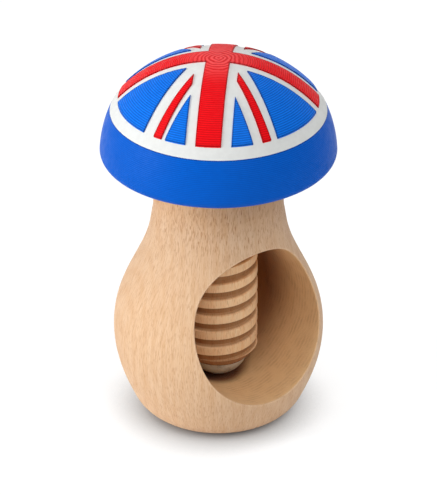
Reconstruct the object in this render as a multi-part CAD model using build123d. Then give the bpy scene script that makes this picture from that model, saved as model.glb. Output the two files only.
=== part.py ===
from build123d import *
import math
import os

# Screw nutcracker: a turned beech body with a nut chamber bored in its side, a coarse wooden
# screw through its neck, and a domed cap with a flag pattern that turns the screw.
# Millimetres, +Z up. The origin is the centre of the flat foot, and the chamber opens to -Y.

# Turned body
belly_radius = 35.9
foot_inset = 17.5
foot_rounding = 12.2
foot_rounding_angle = 65.0
neck_radius = 22.1
neck_length = 16.2
neck_edge_radius = 1.0
body_height = 96.2
# Swell between neck and belly, and height between floor and neck start, from the foot upwards
body_outline_shares = (
    (0.841, 0.220),
    (0.998, 0.375),
    (0.9155, 0.515),
    (0.7444, 0.6025),
    (0.283, 0.774),
    (0.0735, 0.8975),
    (0.025, 0.950),
)

# Nut chamber: an oval bore from the belly's front, closed at the back. The bore falls towards
# the back, and its oval leans to the right. Floor and roof are stated at the screw's axis.
chamber_side_wall = 11.3
chamber_floor_thickness = 11.5
chamber_roof_drop = 14.2
chamber_fall = 8.0
chamber_lean = 17.0
chamber_back_clearance = 3.65
chamber_corner_radius = 10.0
chamber_edge_radius = 0.3

# Screw thread, right-handed, with flat crests
thread_crest_radius = 13.35
thread_depth = 1.5
thread_pitch = 6.15
thread_crest_share = 0.47
thread_flank_angle = 25.0
thread_play = 0.3
thread_ridge_above_end = 3.25

# Screw spindle
spindle_end_ledge = 0.3
spindle_taper_height = 4.0
spindle_tenon_radius = 9.0
spindle_tenon_length = 24.0
spindle_tenon_chamfer = 1.0

# Steel tip: a domed glide on a nail
tip_radius = 9.9
tip_height = 7.5
tip_edge_height = 0.3
tip_wall = 1.0
tip_seat_gap = 0.05
tip_wall_clearance = 0.86
nail_radius = 1.2
nail_length = 15.0
nail_point_length = 3.0

# Cap
cap_clearance = 0.55
cap_radius = 40.0
cap_widest_height = 2.65
cap_edge_radius = 2.6
cap_rim_height = 16.9
cap_rim_middle_height = 9.4
cap_rim_middle_draw = 1.0
cap_rim_top_draw = 3.55
dome_rise = 18.9
dome_ledge_width = 9.45
dome_spigot_length = 3.0

# Flag fields, set into the dome and standing a little proud of it
field_edge_width = 2.68
field_proud = 0.4
field_depth = 1.2
field_fit = 0.05
flag_turn = -39.35
diagonal_angle = 59.3
# The pattern's half widths and offsets, as shares of the round field's radius
flag_offset_share = 0.0592
cross_centre_share = 0.1185
cross_rim_share = 0.1273
border_centre_share = 0.2102
border_rim_share = 0.2280
diagonal_outer_share = 0.1481
diagonal_inner_share = 0.1185
diagonal_red_far_share = 0.0178
diagonal_red_near_share = 0.0296
diagonal_red_near_rim_share = 0.0740

# Shared fits, and how far cuts run past the material
press_clearance = 0.05
cut_overrun = 1.0
chamber_mouth_overrun = 4.0

# How finely the tip's place above the chamber's floor is found
wall_samples = 720
placing_steps = 40

foot_radius = belly_radius - foot_inset
foot_rounding_radians = math.radians(foot_rounding_angle)
foot_rounding_height = foot_rounding * (1 - math.cos(foot_rounding_radians))
neck_start_height = body_height - neck_length
chamber_half_width = belly_radius - chamber_side_wall
chamber_height = neck_start_height - chamber_roof_drop - chamber_floor_thickness
chamber_middle_height = chamber_floor_thickness + chamber_height / 2
chamber_depth_behind_axis = thread_crest_radius + chamber_back_clearance
chamber_depth = chamber_depth_behind_axis + belly_radius + chamber_mouth_overrun
thread_root_radius = thread_crest_radius - thread_depth
thread_crest_width = thread_pitch * thread_crest_share
flank_slope = math.tan(math.radians(thread_flank_angle))
spindle_end_radius = tip_radius + spindle_end_ledge
tip_dome_rise = tip_height - tip_edge_height
tip_dome_radius = (tip_radius ** 2 + tip_dome_rise ** 2) / (2 * tip_dome_rise)


def wall_distance(height):
    # From a point of the screw's axis to the chamber's wall, square to the bore
    level = (height - chamber_middle_height) * math.cos(math.radians(chamber_fall))
    lean = math.radians(chamber_lean)
    point = (-level * math.sin(lean), level * math.cos(lean))
    distances = []
    for sample in range(wall_samples):
        turn = 2 * math.pi * sample / wall_samples
        across = chamber_half_width * math.cos(turn)
        up = chamber_height / 2 * math.sin(turn)
        distances.append(math.dist(point, (across, up)))
    return min(distances)


def lowest_tip_centre():
    # The lowest place on the screw's axis where the tip's dome keeps its clearance
    low = chamber_floor_thickness
    high = chamber_middle_height
    for step in range(placing_steps):
        middle = (low + high) / 2
        if wall_distance(middle) < tip_dome_radius + tip_wall_clearance:
            low = middle
        else:
            high = middle
    return high


tip_bottom_height = lowest_tip_centre() - tip_dome_radius
tip_top_height = tip_bottom_height + tip_height
spindle_end_height = tip_top_height + tip_seat_gap
ridge_middle_height = spindle_end_height + thread_ridge_above_end
cap_base_height = body_height + cap_clearance
dome_base_height = cap_base_height + cap_rim_height
cap_top_height = dome_base_height + dome_rise
cap_rim_top_radius = cap_radius - cap_rim_top_draw
dome_spigot_radius = cap_rim_top_radius - dome_ledge_width
field_limit_radius = cap_rim_top_radius - field_edge_width
flag_offset = field_limit_radius * flag_offset_share
cross_half_width = field_limit_radius * cross_centre_share
cross_half_width_at_rim = field_limit_radius * cross_rim_share
border_half_width = field_limit_radius * border_centre_share
border_half_width_at_rim = field_limit_radius * border_rim_share
diagonal_outer_offset = field_limit_radius * diagonal_outer_share
diagonal_inner_offset = field_limit_radius * diagonal_inner_share
diagonal_red_far_side = field_limit_radius * diagonal_red_far_share
diagonal_red_near_side = field_limit_radius * diagonal_red_near_share
diagonal_red_near_side_at_rim = field_limit_radius * diagonal_red_near_rim_share


def turned(points_and_edges):
    # A closed half outline in the XZ plane, turned once about the Z axis
    return revolve(Plane.XZ * make_face(points_and_edges), axis=Axis.Z)


def disc(radius, low, high):
    return extrude(Plane.XY.offset(low) * Circle(radius), amount=high - low)


def thread_section(root_radius, crest_radius, crest_width, height):
    # The level cut through the thread: crest arc, flank, root arc, flank. It turns with height.
    half_crest = 180 * crest_width / thread_pitch
    flank_width = flank_slope * (crest_radius - root_radius)
    half_root = half_crest + 360 * flank_width / thread_pitch
    turned_by = 360 * (height - ridge_middle_height) / thread_pitch

    def at(radius, angle):
        radians = math.radians(turned_by + angle)
        return (radius * math.cos(radians), radius * math.sin(radians))

    flank_radius = (root_radius + crest_radius) / 2
    flank_angle = (half_crest + half_root) / 2
    return make_face(
        [
            ThreePointArc(
                at(crest_radius, -half_crest), at(crest_radius, 0), at(crest_radius, half_crest)
            ),
            ThreePointArc(
                at(crest_radius, half_crest),
                at(flank_radius, flank_angle),
                at(root_radius, half_root),
            ),
            ThreePointArc(
                at(root_radius, half_root), at(root_radius, 180), at(root_radius, -half_root)
            ),
            ThreePointArc(
                at(root_radius, -half_root),
                at(flank_radius, -flank_angle),
                at(crest_radius, -half_crest),
            ),
        ]
    )


def threaded_rod(root_radius, crest_radius, crest_width, start, end):
    section = Pos(0, 0, start) * thread_section(root_radius, crest_radius, crest_width, start)
    length = end - start
    return Solid.extrude_linear_with_rotation(
        section.face(), (0, 0, start), (0, 0, length), 360 * length / thread_pitch
    )


def body_blank():
    angle = foot_rounding_radians
    foot_edge = (foot_radius + foot_rounding * math.sin(angle), foot_rounding_height)
    swell = belly_radius - neck_radius
    points = [foot_edge]
    for swell_share, height_share in body_outline_shares:
        points.append((neck_radius + swell * swell_share, neck_start_height * height_share))
    points.append((neck_radius, neck_start_height))
    side = Spline(*points, tangents=[(math.cos(angle), math.sin(angle)), (0, 1)])
    foot = TangentArc((foot_radius, 0), foot_edge, tangent=(1, 0))
    neck_edge_start = body_height - neck_edge_radius
    neck_face_radius = neck_radius - neck_edge_radius
    outline = [
        Line((0, 0), (foot_radius, 0)),
        foot,
        side,
        Line((neck_radius, neck_start_height), (neck_radius, neck_edge_start)),
        TangentArc((neck_radius, neck_edge_start), (neck_face_radius, body_height), tangent=(0, 1)),
        Line((neck_face_radius, body_height), (0, body_height)),
        Line((0, body_height), (0, 0)),
    ]
    return turned(outline)


def chamber():
    oval = Rot(0, 0, -chamber_lean) * Ellipse(chamber_half_width, chamber_height / 2)
    bore = extrude(Plane.XZ.offset(-chamber_depth_behind_axis) * oval, amount=chamber_depth)
    back_edges = bore.faces().sort_by(Axis.Y)[-1].edges()
    rounded = fillet(back_edges, chamber_corner_radius)
    return Pos(0, 0, chamber_middle_height) * Rot(-chamber_fall, 0, 0) * rounded


def make_body():
    # The neck is the screw's nut: the same thread, larger by the play
    thread = threaded_rod(
        thread_root_radius + thread_play,
        thread_crest_radius + thread_play,
        thread_crest_width + 2 * thread_play,
        chamber_middle_height,
        body_height + cut_overrun,
    )
    body = body_blank() - thread - chamber()
    in_front_of_bore = -(thread_crest_radius + thread_play)
    mouth = [
        edge for edge in body.edges()
        if edge.geom_type != GeomType.LINE and edge.center().Y < in_front_of_bore
    ]
    return fillet(mouth, chamber_edge_radius)


def make_spindle():
    tenon_top = cap_base_height + spindle_tenon_length
    spindle = threaded_rod(
        thread_root_radius,
        thread_crest_radius,
        thread_crest_width,
        spindle_end_height,
        cap_base_height,
    )
    taper_slope = (thread_crest_radius - spindle_end_radius) / spindle_taper_height
    below_end = spindle_end_height - cut_overrun
    outside = thread_crest_radius + cut_overrun
    taper_cut = Polyline(
        (spindle_end_radius - taper_slope * cut_overrun, below_end),
        (outside, below_end),
        (outside, spindle_end_height + (outside - spindle_end_radius) / taper_slope),
        close=True,
    )
    spindle -= turned(taper_cut)
    tenon = Polyline(
        (0, cap_base_height - cut_overrun),
        (spindle_tenon_radius, cap_base_height - cut_overrun),
        (spindle_tenon_radius, tenon_top - spindle_tenon_chamfer),
        (spindle_tenon_radius - spindle_tenon_chamfer, tenon_top),
        (0, tenon_top),
        close=True,
    )
    spindle += turned(tenon)
    hole_radius = nail_radius + press_clearance
    hole_top = spindle_end_height + nail_length + press_clearance
    return spindle - disc(hole_radius, spindle_end_height - cut_overrun, hole_top)


def make_tip():
    # A pressed steel dome: flat back on the spindle's end and a blind hole for the nail
    bottom = tip_bottom_height
    top = tip_top_height
    edge = top - tip_edge_height
    half_angle = math.asin(tip_radius / tip_dome_radius) / 2
    dome_middle = (
        tip_dome_radius * math.sin(half_angle),
        bottom + tip_dome_radius * (1 - math.cos(half_angle)),
    )
    outline = [
        ThreePointArc((0, bottom), dome_middle, (tip_radius, edge)),
        Line((tip_radius, edge), (tip_radius, top)),
        Line((tip_radius, top), (0, top)),
        Line((0, top), (0, bottom)),
    ]
    return turned(outline) - disc(nail_radius, bottom + tip_wall, top + cut_overrun)


def make_nail():
    foot = tip_bottom_height + tip_wall
    top = spindle_end_height + nail_length
    outline = Polyline(
        (0, foot),
        (nail_radius, foot),
        (nail_radius, top - nail_point_length),
        (0, top),
        close=True,
    )
    return turned(outline)


def make_cap_rim():
    widest = cap_base_height + cap_widest_height
    middle = cap_base_height + cap_rim_middle_height
    base_radius = cap_radius - cap_edge_radius
    outline = [
        Line((0, cap_base_height), (base_radius, cap_base_height)),
        TangentArc((base_radius, cap_base_height), (cap_radius, widest), tangent=(1, 0)),
        ThreePointArc(
            (cap_radius, widest),
            (cap_radius - cap_rim_middle_draw, middle),
            (cap_rim_top_radius, dome_base_height),
        ),
        Line((cap_rim_top_radius, dome_base_height), (0, dome_base_height)),
        Line((0, dome_base_height), (0, cap_base_height)),
    ]
    rim = turned(outline)
    rim -= disc(
        dome_spigot_radius + press_clearance,
        dome_base_height - dome_spigot_length - press_clearance,
        dome_base_height + cut_overrun,
    )
    hole_radius = spindle_tenon_radius + press_clearance
    return rim - disc(hole_radius, cap_base_height - cut_overrun, dome_base_height)


def dome_form(offset):
    # The dome's outer form, one arc over the rim's top edge, moved outwards by an offset
    dome_radius = (cap_rim_top_radius ** 2 + dome_rise ** 2) / (2 * dome_rise)
    edge_angle = math.asin(cap_rim_top_radius / dome_radius)
    centre_height = cap_top_height - dome_radius
    radius = dome_radius + offset

    def at(angle):
        return (radius * math.sin(angle), centre_height + radius * math.cos(angle))

    edge = at(edge_angle)
    outline = [
        ThreePointArc(at(0), at(edge_angle / 2), edge),
        Line(edge, (0, edge[1])),
        Line((0, edge[1]), at(0)),
    ]
    return turned(outline)


def flag_bar(half_width, half_width_at_rim):
    # One bar through the flag's centre, a little wider towards the rim
    reach = cap_radius
    return make_face(
        Polyline(
            (-half_width_at_rim, -reach),
            (half_width_at_rim, -reach),
            (half_width, 0),
            (half_width_at_rim, reach),
            (-half_width_at_rim, reach),
            (-half_width, 0),
            close=True,
        )
    )


def flag_disc(grow):
    # The round field of the whole flag, about the cap's axis, in the flag's own plane
    return Pos(0, -flag_offset) * Circle(field_limit_radius + grow)


def cross_plan(grow):
    bar = flag_bar(cross_half_width + grow, cross_half_width_at_rim + grow)
    return (bar + Rot(0, 0, 90) * bar) & flag_disc(grow)


def border_plan():
    bar = flag_bar(border_half_width, border_half_width_at_rim)
    return bar + Rot(0, 0, 90) * bar


def lower_right_band(low_side, low_side_at_rim, high_side, high_side_at_rim):
    # A band that leaves the flag's centre to the lower right, measured across its own line
    reach = 2 * cap_radius
    rim_share = reach / field_limit_radius
    high_end = high_side + (high_side_at_rim - high_side) * rim_share
    low_end = low_side + (low_side_at_rim - low_side) * rim_share
    band = make_face(
        Polyline((0, -low_side), (reach, -low_end), (reach, high_end), (0, high_side), close=True)
    )
    return Rot(0, 0, -diagonal_angle) * band


def lower_right_quarter(grow):
    reach = 2 * cap_radius
    return Rectangle(reach, reach, align=(Align.MIN, Align.MAX)) - grow_outline(border_plan(), -grow)


def grow_outline(face, amount):
    if amount == 0:
        return face
    return offset(face, amount, kind=Kind.INTERSECTION)


def wide_panel_plan(grow):
    # Between the cross's level arm and the diagonal
    reach = 2 * cap_radius
    turn = Rot(0, 0, -diagonal_angle)
    above = turn * Pos(0, diagonal_outer_offset - grow) * Rectangle(
        2 * reach, reach, align=(Align.CENTER, Align.MIN)
    )
    return lower_right_quarter(grow) & above & flag_disc(grow)


def narrow_panel_plan(grow):
    # Between the cross's upright arm and the diagonal
    reach = 2 * cap_radius
    turn = Rot(0, 0, -diagonal_angle)
    below = turn * Pos(0, grow - diagonal_inner_offset) * Rectangle(
        2 * reach, reach, align=(Align.CENTER, Align.MAX)
    )
    return lower_right_quarter(grow) & below & flag_disc(grow)


def red_diagonal_plan(grow, towards_wide_panel):
    far = diagonal_red_far_side + grow
    near = diagonal_red_near_side + grow
    near_at_rim = diagonal_red_near_side_at_rim + grow
    if towards_wide_panel:
        band = lower_right_band(far, far, near, near_at_rim)
    else:
        band = lower_right_band(near, near_at_rim, far, far)
    return band & lower_right_quarter(grow) & flag_disc(grow)


def in_quadrant(make_plan, grow, side):
    # Puts a lower right field into one of the four quarters of the flag. The round limit stays
    # about the cap's axis, so it is applied again in the field's own quarter.
    across, along = side
    plan = make_plan(grow)
    if across < 0:
        plan = mirror(plan, about=Plane.YZ)
    if along > 0:
        plan = mirror(plan, about=Plane.XZ)
    return plan & flag_disc(grow)


def flag_fields(grow):
    # Every coloured field as a flat outline in the flag's own plane, by name
    quarters = {
        "front_right": (1, -1),
        "front_left": (-1, -1),
        "back_left": (-1, 1),
        "back_right": (1, 1),
    }
    fields = {"red_cross": cross_plan(grow)}
    for place, side in quarters.items():
        towards_wide = side[0] * side[1] < 0
        fields["blue_wide_panel_" + place] = in_quadrant(wide_panel_plan, grow, side)
        fields["blue_narrow_panel_" + place] = in_quadrant(narrow_panel_plan, grow, side)
        fields["red_diagonal_" + place] = in_quadrant(
            lambda extra: red_diagonal_plan(extra, towards_wide), grow, side
        )
    return fields


def raised(plan):
    # A flat outline in the flag's plane, stood up through the dome at the flag's real place
    place = Rot(0, 0, flag_turn) * Pos(0, flag_offset, dome_base_height)
    return extrude(place * plan, amount=2 * dome_rise)


def make_dome():
    dome = dome_form(0)
    dome += disc(dome_spigot_radius, dome_base_height - dome_spigot_length, dome_base_height)
    socket_top = cap_base_height + spindle_tenon_length + press_clearance
    dome -= disc(spindle_tenon_radius + press_clearance, cap_base_height, socket_top)
    pocket_floor = dome_form(-field_depth - field_fit)
    for plan in flag_fields(field_fit).values():
        dome -= raised(plan) - pocket_floor
    return dome


def make_fields():
    skin = dome_form(field_proud) - dome_form(-field_depth)
    solids = {}
    for name, plan in flag_fields(0).items():
        solids[name] = raised(plan) & skin
    return solids


def main():
    os.makedirs("parts", exist_ok=True)
    pieces = {
        "turned_body": make_body(),
        "screw_spindle": make_spindle(),
        "steel_tip": make_tip(),
        "tip_nail": make_nail(),
        "cap_rim": make_cap_rim(),
        "cap_dome": make_dome(),
    }
    pieces.update(make_fields())
    for name, piece in pieces.items():
        export_step(piece, "parts/" + name + ".step")


main()
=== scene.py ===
import math

import bpy
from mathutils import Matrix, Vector

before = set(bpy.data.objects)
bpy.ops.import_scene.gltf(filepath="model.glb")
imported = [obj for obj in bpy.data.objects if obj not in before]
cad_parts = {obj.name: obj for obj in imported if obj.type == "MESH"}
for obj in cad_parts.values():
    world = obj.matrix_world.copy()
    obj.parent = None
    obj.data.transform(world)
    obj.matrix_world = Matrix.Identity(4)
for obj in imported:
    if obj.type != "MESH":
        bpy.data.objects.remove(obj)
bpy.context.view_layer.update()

# Lengths are in metres, and noise scales in features per metre. Colours are as an eye reads them,
# from 0 to 255. A span is the low and high end of a soft step, and a share runs from 0 to 1. A mark
# is a colour and the share of it that shows. A bump is a strength and a reach. A noise is a scale,
# a detail and a roughness.

# View of the photograph, in the part's frame
VIEW_TURN = math.radians(33.5)
VIEW_RISE = math.radians(29.2)
VIEW_DISTANCE = 1.6
VIEW_TARGET = Vector((0.0, 0.0, 0.0607))
FOCAL_PIXELS = 4700.8
PHOTO_LONG_SIDE = 495.0
SENSOR = 36.0
CLIP_START = 0.1
CLIP_END = 20.0

# Studio
WORLD_STRENGTH = 0.28
FLOOR_REACH = 3.0
FLOOR_SHARE = 0.9
FLOOR_SEEN_SHARE = 0.25
FLOOR_WHITE = 0.85
CONTACT_REACH = 0.04
CONTACT_SAMPLES = 16
CONTACT_FALL = 1.3
CONTACT_GAIN = 1.6
LAMPS = {
    # name: turn and rise in degrees, distance and size in metres, power in watts
    "left_softbox": (108, 18, 1.6, 0.9, 16.2),
    "front_softbox": (4, 50, 1.6, 0.8, 7.6),
    "top_softbox": (80, 80, 1.5, 1.2, 3.2),
    "back_softbox": (205, 60, 1.5, 1.0, 3.0),
}

# Forms of the part that the materials follow
DOME_BASE_HEIGHT = 0.11365
DOME_BASE_RADIUS = 0.03645
DOME_RISE = 0.0189
DOME_RADIUS = (DOME_BASE_RADIUS ** 2 + DOME_RISE ** 2) / (2.0 * DOME_RISE)
DOME_CENTRE_HEIGHT = DOME_BASE_HEIGHT + DOME_RISE - DOME_RADIUS
THREAD_ROOT_RADIUS = 0.01185
THREAD_CREST_RADIUS = 0.01335
BELLY_REACH = 0.030
LEVEL_ONLY = (1.0, 1.0, 0.0)

# Painted highlight, shade and wear on edges, found by how far a rounded edge would turn the surface
EDGE_REACH = 0.0009
EDGE_SAMPLES = 4
EDGE_SPAN = (0.88, 0.997)

# Beech: light, dark and pore colours of each piece
BODY_WOOD = ((237, 201, 164), (222, 176, 132), (186, 120, 70))
SCREW_WOOD = ((255, 218, 174), (250, 198, 146), (196, 132, 80))
PITH_PLACE = (-0.075, 0.020, 0.0)
RING_SPACING = 0.0034
RING_STRETCH = (1.0, 1.0, 0.03)
RING_SHARPNESS = 2.0
WARP_SCALE = 22.0
WARP_REACH = (0.006, 0.006, 0.0)
FIBRE_SCALE = 3500.0
FIBRE_DRIFT = (0.06, 0.06, 0.045)
FIBRE_SPAN = (0.40, 0.60)
BROAD_SCALE = 260.0
BROAD_STRETCH = (1.0, 1.0, 0.12)
BROAD_SPAN = (0.35, 0.65)
PORE_NOISE = (4200.0, 1.0, 0.4)
PORE_DRIFT = (0.12, 0.12, 0.10)
PORE_SPAN = (0.58, 0.66)
RING_SHARE = 0.26
FIBRE_SHARE = 0.40
BROAD_SHARE = 0.19
# Pores darker near the neck: dirt, and painted shade under the cap
PORE_DIRT_AND_SHADE_SPAN = (0.062, 0.080)
PORE_DIRT_AND_SHADE_SHARES = (0.34, 0.80)
PORE_SINK = -0.6
FIBRE_RISE = 0.5
FIBRE_ROUGHNESS = 0.18
WOOD_ROUGHNESS = 0.50
WOOD_SHEEN = 0.10
WOOD_GLOSS = 0.10
WOOD_BUMP = (0.5, 0.00014)

# The body's own marks, with the light, shade and shadow painted on it
INSIDE_SPAN = (0.05, 0.40)
# Painted warm bounce light inside the bore
BORE_BOUNCE_LIGHT_MARK = ((255, 212, 152), 0.75)
# Painted shade towards the back of the bore
BORE_SHADE_SPAN = (-0.016, 0.012)
BORE_SHADE_MARK = ((178, 116, 34), 0.86)
END_GRAIN_SPAN = (0.45, 1.0)
END_GRAIN_MARK = ((206, 174, 140), 0.20)
TOOL_LINE_SPACING = 0.0016
TOOL_LINE_DRIFT = 0.0016
TOOL_LINE_DRIFT_SCALE = 160.0
TOOL_PATCH_SCALE = 240.0
TOOL_PATCH_SPAN = (0.35, 0.75)
TOOL_LINE_SINK = -0.8
TOOL_LINE_MARK = ((176, 122, 76), 0.30)
# Painted shadow on the floor under the tip
TIP_SHADOW_REACH_SPAN = (0.0060, 0.0118)
TIP_SHADOW_HEIGHT_SPAN = (0.016, 0.024)
TIP_SHADOW_MARK = ((120, 80, 44), 0.95)
# Painted highlight and wear on the wood's edges
EDGE_HIGHLIGHT_AND_WEAR_MARK = ((250, 214, 176), 0.6)
# Painted shadow of the cap on the neck
CAP_SHADOW_SPAN = (0.074, 0.086)
CAP_SHADOW_MARK = ((238, 222, 200), 0.5)

# The screw's own marks, with the shade and light painted on its thread
GROOVE_DEPTH_SPAN = (THREAD_ROOT_RADIUS + 0.0006, THREAD_CREST_RADIUS - 0.00005)
# Painted shade in the grooves, less of it on the flank that faces up
GROOVE_SHADE_MARK = ((172, 146, 122), 1.0)
LIT_FLANK_SPAN = (0.10, 0.45)
LIT_FLANK_SHARES = (0.95, 0.78)
ROUGH_NOISE = (1400.0, 2.0, 0.6)
ROUGH_RISE = 0.9
BRUISE_SPAN = (0.0190, 0.0200)
BRUISE_SCALE = 700.0
BRUISE_UNEVEN = 0.0022
BRUISE_MARK = ((120, 92, 68), 0.8)

# Lacquer
LACQUERS = {
    # name: lit and shaded colours, groove spacing, bump strength, painted groove shade, roughness
    "blue_rim": ((2, 98, 210), (0, 72, 170), 0.00062, 0.4, 0.4, 0.38),
    "blue_field": ((16, 126, 246), (0, 80, 186), 0.00078, 0.9, 0.8, 0.36),
    "red_field": ((255, 14, 26), (206, 4, 14), 0.00078, 0.9, 0.9, 0.36),
}
GROOVE_WANDER = 0.6
GROOVE_WANDER_SCALE = 90.0
GROOVE_SHARPNESS = 0.7
CROWN_RING_SPACING = 0.0014
CROWN_SPAN = (0.0065, 0.0115)
CROWN_WANDER = 8.0
CROWN_WANDER_SCALE = 300.0
# Painted sheen on the ridges of the crown
CROWN_SHEEN_SPAN = (0.002, 0.016)
CROWN_SHEEN_MARK = ((255, 150, 150), 0.30)
# Painted shade on the raised edges
EDGE_SHADE_MARK = ((84, 84, 92), 0.9)
LACQUER_MOTTLE_NOISE = (420.0, 3.0, 0.6)
LACQUER_MOTTLE_SHARE = 0.12
LACQUER_MOTTLE_RISE = 0.08
LACQUER_BUMP_REACH = 0.0001
LACQUER_GLOSS = 0.06
MOTTLE_SPAN = (0.3, 0.7)
MOTTLE_ROUGHNESS = 0.12
WHITE = (231, 233, 231)
WHITE_MARK = ((221, 222, 220), 0.5)
WHITE_MOTTLE_NOISE = (380.0, 3.0, 0.6)
WHITE_LINE_SPACING = 0.0005
WHITE_LINE_RISE = 0.25
WHITE_ROUGHNESS = 0.42
WHITE_BUMP = (0.12, 0.00006)
WHITE_GLOSS = 0.12

# Steel
TIP_STEEL = (206, 206, 204)
NAIL_STEEL = (186, 184, 180)
SCRATCH_NOISE = (2600.0, 2.0, 0.6)
SCRATCH_STRETCH = (1.0, 0.16, 1.0)
STEEL_STAIN_NOISE = (260.0, 4.0, 0.65)
STEEL_STAIN_SPAN = (0.42, 0.68)
STEEL_STAIN_MARK = ((120, 106, 90), 0.5)
STEEL_STAIN_ROUGHNESS = 0.2
STEEL_LINE_SPACING = 0.0004
STEEL_LINE_RISE = 0.3
STEEL_ROUGHNESS = 0.4
STEEL_METALLIC = 0.4
STEEL_BUMP = (0.25, 0.00004)


def linear(red, green, blue):
    # A colour from 0 to 255 as the shader's linear values
    def one(level):
        share = level / 255.0
        if share <= 0.04045:
            return share / 12.92
        return ((share + 0.055) / 1.055) ** 2.4

    return (one(red), one(green), one(blue), 1.0)


def point_from(turn, rise, distance):
    # A point seen from the view's target: turned from -Y towards -X, and risen from level
    level = distance * math.cos(rise)
    away = (-level * math.sin(turn), -level * math.cos(turn), distance * math.sin(rise))
    return VIEW_TARGET + Vector(away)


def put_aimed(name, data, place):
    made = bpy.data.objects.new(name, data)
    bpy.context.collection.objects.link(made)
    made.location = place
    made.rotation_euler = (VIEW_TARGET - place).to_track_quat("-Z", "Y").to_euler()
    return made


def add_camera():
    data = bpy.data.cameras.new("camera")
    data.sensor_width = SENSOR
    data.lens = FOCAL_PIXELS * SENSOR / PHOTO_LONG_SIDE
    data.clip_start = CLIP_START
    data.clip_end = CLIP_END
    place = point_from(VIEW_TURN, VIEW_RISE, VIEW_DISTANCE)
    bpy.context.scene.camera = put_aimed("camera", data, place)
    bpy.context.scene.view_settings.view_transform = "Standard"


def add_lamps():
    for name, (turn, rise, distance, size, power) in LAMPS.items():
        data = bpy.data.lights.new(name, "AREA")
        data.shape = "DISK"
        data.size = size
        data.energy = power
        put_aimed(name, data, point_from(math.radians(turn), math.radians(rise), distance))


class Nodes:
    # Short calls for building one node tree
    def __init__(self, tree):
        self.tree = tree
        tree.nodes.clear()

    def add(self, kind, settings=None, **inputs):
        made = self.tree.nodes.new(kind)
        for key, value in (settings or {}).items():
            setattr(made, key, value)
        for key, value in inputs.items():
            self.put(made.inputs[key.replace("_", " ")], value)
        return made

    def put(self, socket, value):
        if isinstance(value, bpy.types.NodeSocket):
            self.tree.links.new(value, socket)
        else:
            socket.default_value = value

    def math(self, operation, first, second=0.0, third=0.0):
        made = self.tree.nodes.new("ShaderNodeMath")
        made.operation = operation
        for socket, value in zip(made.inputs, (first, second, third)):
            self.put(socket, value)
        return made.outputs["Value"]

    def times(self, first, second):
        return self.math("MULTIPLY", first, second)

    def plus_times(self, value, factor, extra):
        return self.math("MULTIPLY_ADD", value, factor, extra)

    def vector(self, operation, first, second=(0.0, 0.0, 0.0)):
        made = self.tree.nodes.new("ShaderNodeVectorMath")
        made.operation = operation
        self.put(made.inputs[0], first)
        self.put(made.inputs[1], second)
        return made.outputs["Value" if operation in ("LENGTH", "DOT_PRODUCT") else "Vector"]

    def stretched(self, vector, factors):
        return self.vector("MULTIPLY", vector, factors)

    def from_axis(self, place):
        return self.vector("LENGTH", self.stretched(place, LEVEL_ONLY))

    def along(self, vector, axis):
        return self.add("ShaderNodeSeparateXYZ", Vector=vector).outputs[axis]

    def level(self, value, span, start=0.0, end=1.0):
        # Maps the span to start..end with soft ends
        low, high = span
        made = self.add(
            "ShaderNodeMapRange",
            {"interpolation_type": "SMOOTHSTEP"},
            Value=value,
            From_Min=low,
            From_Max=high,
            To_Min=start,
            To_Max=end,
        )
        return made.outputs["Result"]

    def noise(self, place, scale, detail=2.0, roughness=0.5):
        made = self.add(
            "ShaderNodeTexNoise", Vector=place, Scale=scale, Detail=detail, Roughness=roughness
        )
        return made.outputs["Fac"]

    def mix(self, share, first, second, blend="MIX"):
        made = self.add("ShaderNodeMix", {"data_type": "RGBA", "blend_type": blend})
        self.put(made.inputs["Factor"], share)
        colors = [socket for socket in made.inputs if socket.type == "RGBA"]
        self.put(colors[0], first)
        self.put(colors[1], second)
        return [socket for socket in made.outputs if socket.type == "RGBA"][0]

    def painted(self, color, where, mark, blend="MIX"):
        tone, share = mark
        return self.mix(self.times(where, share), color, linear(*tone), blend)

    def stained(self, color, where, mark):
        return self.painted(color, where, mark, "MULTIPLY")

    def waves(self, distance, spacing, shift=0.0):
        # 0 in the valleys and 1 on the ridges of even waves
        turns = self.math("DIVIDE", distance, spacing)
        angle = self.plus_times(turns, 2.0 * math.pi, shift)
        return self.plus_times(self.math("SINE", angle), 0.5, 0.5)

    def edges(self):
        # 1 on an edge and 0 from EDGE_REACH away
        rounded = self.add("ShaderNodeBevel", {"samples": EDGE_SAMPLES}, Radius=EDGE_REACH)
        flat = self.add("ShaderNodeNewGeometry")
        turn = self.vector("DOT_PRODUCT", rounded.outputs["Normal"], flat.outputs["Normal"])
        return self.level(turn, EDGE_SPAN, 1.0, 0.0)

    def finish(self, color, roughness, height, bump, **constants):
        strength, reach = bump
        raised = self.add("ShaderNodeBump", Height=height, Strength=strength, Distance=reach)
        shader = self.add("ShaderNodeBsdfPrincipled", Base_Color=color, Roughness=roughness)
        self.put(shader.inputs["Normal"], raised.outputs["Normal"])
        for key, value in constants.items():
            shader.inputs[key.replace("_", " ")].default_value = value
        self.add("ShaderNodeOutputMaterial", Surface=shader.outputs["BSDF"])


def new_material(name):
    material = bpy.data.materials.new(name)
    material.use_nodes = True
    nodes = Nodes(material.node_tree)
    places = nodes.add("ShaderNodeTexCoord")
    return material, nodes, places.outputs["Object"], places.outputs["Normal"]


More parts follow.
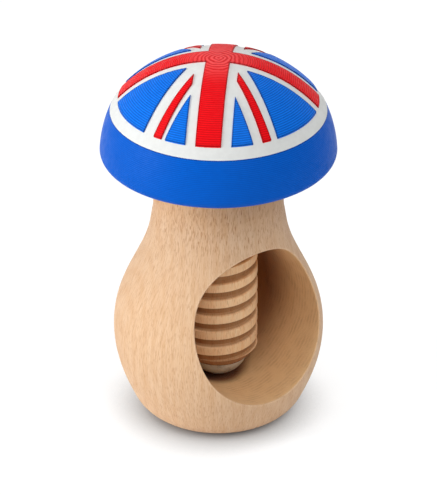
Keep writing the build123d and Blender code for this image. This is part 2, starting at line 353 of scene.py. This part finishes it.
def wood_grain(nodes, place, reach):
    # Upright beech: growth rings about a pith outside the piece, fibres, and short dark pores.
    # The turned surface shows the fibres as upright streaks, so they follow the turn about Z.
    warp = nodes.add("ShaderNodeTexNoise", Vector=place, Scale=WARP_SCALE, Detail=2.0)
    moved = nodes.vector("SUBTRACT", warp.outputs["Color"], (0.5, 0.5, 0.5))
    moved = nodes.vector("ADD", place, nodes.stretched(moved, WARP_REACH))
    from_pith = nodes.stretched(nodes.vector("SUBTRACT", moved, PITH_PLACE), RING_STRETCH)
    rings = nodes.waves(nodes.vector("LENGTH", from_pith), RING_SPACING)
    rings = nodes.math("POWER", rings, RING_SHARPNESS)
    heading = nodes.vector("NORMALIZE", nodes.stretched(place, LEVEL_ONLY))
    heading = nodes.stretched(heading, (reach, reach, 0.0))
    fibre_place = nodes.vector("ADD", heading, nodes.stretched(place, FIBRE_DRIFT))
    fibres = nodes.noise(fibre_place, FIBRE_SCALE)
    broad = nodes.noise(nodes.stretched(place, BROAD_STRETCH), BROAD_SCALE)
    pore_place = nodes.vector("ADD", heading, nodes.stretched(place, PORE_DRIFT))
    pores = nodes.level(nodes.noise(pore_place, *PORE_NOISE), PORE_SPAN)
    return rings, fibres, broad, pores


def beech(name, colors, reach, add_marks):
    # add_marks adds what depends on the piece's own form to the colour and the height
    material, nodes, place, normal = new_material(name)
    light, dark, pore = colors
    rings, fibres, broad, pores = wood_grain(nodes, place, reach)
    shade = nodes.plus_times(rings, RING_SHARE, 0.0)
    shade = nodes.plus_times(nodes.level(fibres, FIBRE_SPAN), FIBRE_SHARE, shade)
    shade = nodes.plus_times(nodes.level(broad, BROAD_SPAN), BROAD_SHARE, shade)
    color = nodes.mix(shade, linear(*light), linear(*dark))
    # Pores show darker near the neck: dirt from the hand, and painted shade under the cap
    dirt_and_shade = nodes.level(nodes.along(place, "Z"), PORE_DIRT_AND_SHADE_SPAN, *PORE_DIRT_AND_SHADE_SHARES)
    color = nodes.mix(nodes.times(pores, dirt_and_shade), color, linear(*pore))
    height = nodes.plus_times(pores, PORE_SINK, nodes.times(fibres, FIBRE_RISE))
    color, height = add_marks(nodes, place, normal, color, height)
    rough = nodes.plus_times(fibres, FIBRE_ROUGHNESS, WOOD_ROUGHNESS)
    nodes.finish(
        color, rough, height, WOOD_BUMP, Specular_IOR_Level=WOOD_GLOSS, Sheen_Weight=WOOD_SHEEN
    )
    return material


def body_marks(nodes, place, normal, color, height):
    depth_place = nodes.along(place, "Y")
    z = nodes.along(place, "Z")
    reach = nodes.from_axis(place)
    outward = nodes.vector("DOT_PRODUCT", normal, nodes.stretched(place, LEVEL_ONLY))
    inside = nodes.level(nodes.math("DIVIDE", outward, reach), INSIDE_SPAN, 1.0, 0.0)
    # End grain is darker where the outer surface lies level
    end_grain = nodes.level(nodes.math("ABSOLUTE", nodes.along(normal, "Z")), END_GRAIN_SPAN)
    end_grain = nodes.times(end_grain, nodes.math("SUBTRACT", 1.0, inside))
    color = nodes.stained(color, end_grain, END_GRAIN_MARK)
    # The bore is painted warmer and lighter, as painted bounce light, and keeps its tool marks
    color = nodes.painted(color, inside, BORE_BOUNCE_LIGHT_MARK)
    # Painted shade darkens the bore towards its back
    depth = nodes.times(inside, nodes.level(depth_place, BORE_SHADE_SPAN))
    color = nodes.stained(color, depth, BORE_SHADE_MARK)
    drift = nodes.noise(place, TOOL_LINE_DRIFT_SCALE)
    lines = nodes.plus_times(drift, TOOL_LINE_DRIFT, depth_place)
    lines = nodes.waves(lines, TOOL_LINE_SPACING)
    patches = nodes.level(nodes.noise(place, TOOL_PATCH_SCALE), TOOL_PATCH_SPAN)
    lines = nodes.times(nodes.times(lines, patches), inside)
    color = nodes.painted(color, lines, TOOL_LINE_MARK)
    # Painted shadow darkens the floor under the tip
    tip_shadow = nodes.times(nodes.level(reach, TIP_SHADOW_REACH_SPAN, 1.0, 0.0), inside)
    tip_shadow = nodes.times(tip_shadow, nodes.level(z, TIP_SHADOW_HEIGHT_SPAN, 1.0, 0.0))
    color = nodes.stained(color, tip_shadow, TIP_SHADOW_MARK)
    # Edges are painted lighter, as painted highlight and wear from hands
    color = nodes.painted(color, nodes.edges(), EDGE_HIGHLIGHT_AND_WEAR_MARK)
    # The neck under the cap is painted darker, as painted shadow of the cap
    color = nodes.stained(color, nodes.level(z, CAP_SHADOW_SPAN), CAP_SHADOW_MARK)
    return color, nodes.plus_times(lines, TOOL_LINE_SINK, height)


def screw_marks(nodes, place, normal, color, height):
    # Crests are polished by use. The groove between them is rough, cut across the grain, and
    # painted darker as painted shade, and the flank that faces up is painted lighter as painted
    # light from above.
    depth = nodes.level(nodes.from_axis(place), GROOVE_DEPTH_SPAN, 1.0, 0.0)
    facing_shade = nodes.level(nodes.along(normal, "Z"), LIT_FLANK_SPAN, *LIT_FLANK_SHARES)
    color = nodes.stained(color, nodes.times(depth, facing_shade), GROOVE_SHADE_MARK)
    rough = nodes.noise(place, *ROUGH_NOISE)
    height = nodes.plus_times(nodes.times(rough, depth), ROUGH_RISE, height)
    # The wood is bruised and dark in an uneven line where the steel tip meets it
    uneven = nodes.noise(place, BRUISE_SCALE)
    line = nodes.plus_times(uneven, -BRUISE_UNEVEN, nodes.along(place, "Z"))
    color = nodes.stained(color, nodes.level(line, BRUISE_SPAN, 1.0, 0.0), BRUISE_MARK)
    return color, height


def up_the_rim(nodes, place):
    return nodes.along(place, "Z")


def along_dome(nodes, place):
    # Distance from the crown over the dome's arc
    rise = nodes.math("SUBTRACT", nodes.along(place, "Z"), DOME_CENTRE_HEIGHT)
    angle = nodes.math("ARCTAN2", nodes.from_axis(place), rise)
    return nodes.times(angle, DOME_RADIUS)


def grooved(name, distance_of):
    # Lacquer over turned grooves. distance_of gives the distance on the surface that they divide.
    lit, deep, spacing, strength, groove_shade, roughness = LACQUERS[name]
    material, nodes, place, _ = new_material(name)
    reach = distance_of(nodes, place)
    wander = nodes.times(nodes.noise(place, GROOVE_WANDER_SCALE), GROOVE_WANDER)
    ridges = nodes.waves(reach, spacing, wander)
    # The tool leaves wider, less even rings round the crown
    wander = nodes.times(nodes.noise(place, CROWN_WANDER_SCALE), CROWN_WANDER)
    rings = nodes.math("SUBTRACT", nodes.waves(reach, CROWN_RING_SPACING, wander), ridges)
    rings = nodes.times(rings, nodes.level(reach, CROWN_SPAN, 1.0, 0.0))
    ridges = nodes.math("POWER", nodes.math("ADD", ridges, rings), GROOVE_SHARPNESS)
    mottle = nodes.level(nodes.noise(place, *LACQUER_MOTTLE_NOISE), MOTTLE_SPAN)
    # The grooves are painted darker toward the deep colour, as painted shade
    color = nodes.mix(nodes.plus_times(ridges, -groove_shade, groove_shade), linear(*lit), linear(*deep))
    color = nodes.painted(color, mottle, (deep, LACQUER_MOTTLE_SHARE))
    # Painted sheen makes the ridges of the crown paler
    crown_sheen = nodes.times(ridges, nodes.level(reach, CROWN_SHEEN_SPAN, 1.0, 0.0))
    color = nodes.painted(color, crown_sheen, CROWN_SHEEN_MARK)
    # Cut edges, which stand up from the dome, are painted darker, as painted shade on their walls
    color = nodes.stained(color, nodes.edges(), EDGE_SHADE_MARK)
    height = nodes.plus_times(mottle, LACQUER_MOTTLE_RISE, ridges)
    rough = nodes.plus_times(mottle, MOTTLE_ROUGHNESS, roughness)
    bump = (strength, LACQUER_BUMP_REACH)
    nodes.finish(color, rough, height, bump, Specular_IOR_Level=LACQUER_GLOSS)
    return material


def satin_white(name):
    material, nodes, place, _ = new_material(name)
    mottle = nodes.level(nodes.noise(place, *WHITE_MOTTLE_NOISE), MOTTLE_SPAN)
    color = nodes.painted(linear(*WHITE), mottle, WHITE_MARK)
    lines = nodes.waves(along_dome(nodes, place), WHITE_LINE_SPACING)
    height = nodes.plus_times(lines, WHITE_LINE_RISE, mottle)
    rough = nodes.plus_times(mottle, MOTTLE_ROUGHNESS, WHITE_ROUGHNESS)
    nodes.finish(color, rough, height, WHITE_BUMP, Specular_IOR_Level=WHITE_GLOSS)
    return material


def worn_steel(name, base):
    material, nodes, place, _ = new_material(name)
    scratches = nodes.noise(nodes.stretched(place, SCRATCH_STRETCH), *SCRATCH_NOISE)
    lines = nodes.waves(nodes.from_axis(place), STEEL_LINE_SPACING)
    stain = nodes.level(nodes.noise(place, *STEEL_STAIN_NOISE), STEEL_STAIN_SPAN)
    color = nodes.painted(linear(*base), stain, STEEL_STAIN_MARK)
    height = nodes.plus_times(lines, STEEL_LINE_RISE, scratches)
    rough = nodes.plus_times(stain, STEEL_STAIN_ROUGHNESS, STEEL_ROUGHNESS)
    nodes.finish(color, rough, height, STEEL_BUMP, Metallic=STEEL_METALLIC)
    return material


def seen_share(nodes):
    # 1 for rays that show the background: straight, mirrored or passed through
    path = nodes.add("ShaderNodeLightPath")
    direct = nodes.math("MAXIMUM", path.outputs["Is Camera Ray"], path.outputs["Is Glossy Ray"])
    return nodes.math("MAXIMUM", direct, path.outputs["Is Transmission Ray"])


def add_world():
    world = bpy.data.worlds.new("studio")
    bpy.context.scene.world = world
    world.use_nodes = True
    nodes = Nodes(world.node_tree)
    lighting = nodes.add("ShaderNodeBackground", Strength=WORLD_STRENGTH)
    shown = nodes.add("ShaderNodeBackground", Strength=1.0)
    for background in (lighting, shown):
        background.inputs["Color"].default_value = (1.0, 1.0, 1.0, 1.0)
    mixed = nodes.add("ShaderNodeMixShader", Fac=seen_share(nodes))
    nodes.put(mixed.inputs[1], lighting.outputs["Background"])
    nodes.put(mixed.inputs[2], shown.outputs["Background"])
    nodes.add("ShaderNodeOutputWorld", Surface=mixed.outputs["Shader"])


def floor_material():
    # White to the camera, with a contact shadow round the foot
    material, nodes, _, _ = new_material("floor")
    seen = seen_share(nodes)
    share = nodes.plus_times(seen, FLOOR_SEEN_SHARE - FLOOR_SHARE, FLOOR_SHARE)
    matt = nodes.add("ShaderNodeBsdfDiffuse", Color=share)
    open_sky = nodes.add(
        "ShaderNodeAmbientOcclusion", {"samples": CONTACT_SAMPLES}, Distance=CONTACT_REACH
    )
    openness = nodes.math("POWER", open_sky.outputs["AO"], CONTACT_FALL)
    openness = nodes.math("MINIMUM", nodes.times(openness, CONTACT_GAIN), 1.0)
    strength = nodes.times(nodes.times(openness, seen), FLOOR_WHITE)
    white = nodes.add("ShaderNodeEmission", Strength=strength)
    both = nodes.add("ShaderNodeAddShader")
    nodes.put(both.inputs[0], matt.outputs["BSDF"])
    nodes.put(both.inputs[1], white.outputs["Emission"])
    nodes.add("ShaderNodeOutputMaterial", Surface=both.outputs["Shader"])
    return material


def add_floor():
    mesh = bpy.data.meshes.new("floor")
    reach = FLOOR_REACH
    corners = [(-reach, -reach, 0), (reach, -reach, 0), (reach, reach, 0), (-reach, reach, 0)]
    mesh.from_pydata(corners, [], [(0, 1, 2, 3)])
    floor = bpy.data.objects.new("floor", mesh)
    bpy.context.collection.objects.link(floor)
    floor.data.materials.append(floor_material())


def paint_nodes():
    paints = {
        # how the nodes' names start: their material
        "turned_body": beech("beech_body", BODY_WOOD, BELLY_REACH, body_marks),
        "screw_spindle": beech("beech_screw", SCREW_WOOD, THREAD_CREST_RADIUS, screw_marks),
        "blue_": grooved("blue_field", along_dome),
        "red_": grooved("red_field", along_dome),
        "cap_rim": grooved("blue_rim", up_the_rim),
        "steel_tip": worn_steel("steel_tip", TIP_STEEL),
        "tip_nail": worn_steel("steel_nail", NAIL_STEEL),
        "cap_dome": satin_white("white_dome"),
    }
    for name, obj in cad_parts.items():
        paint = next(paint for start, paint in paints.items() if name.startswith(start))
        for slot in obj.material_slots:
            slot.material = paint


add_camera()
add_world()
add_lamps()
add_floor()
paint_nodes()
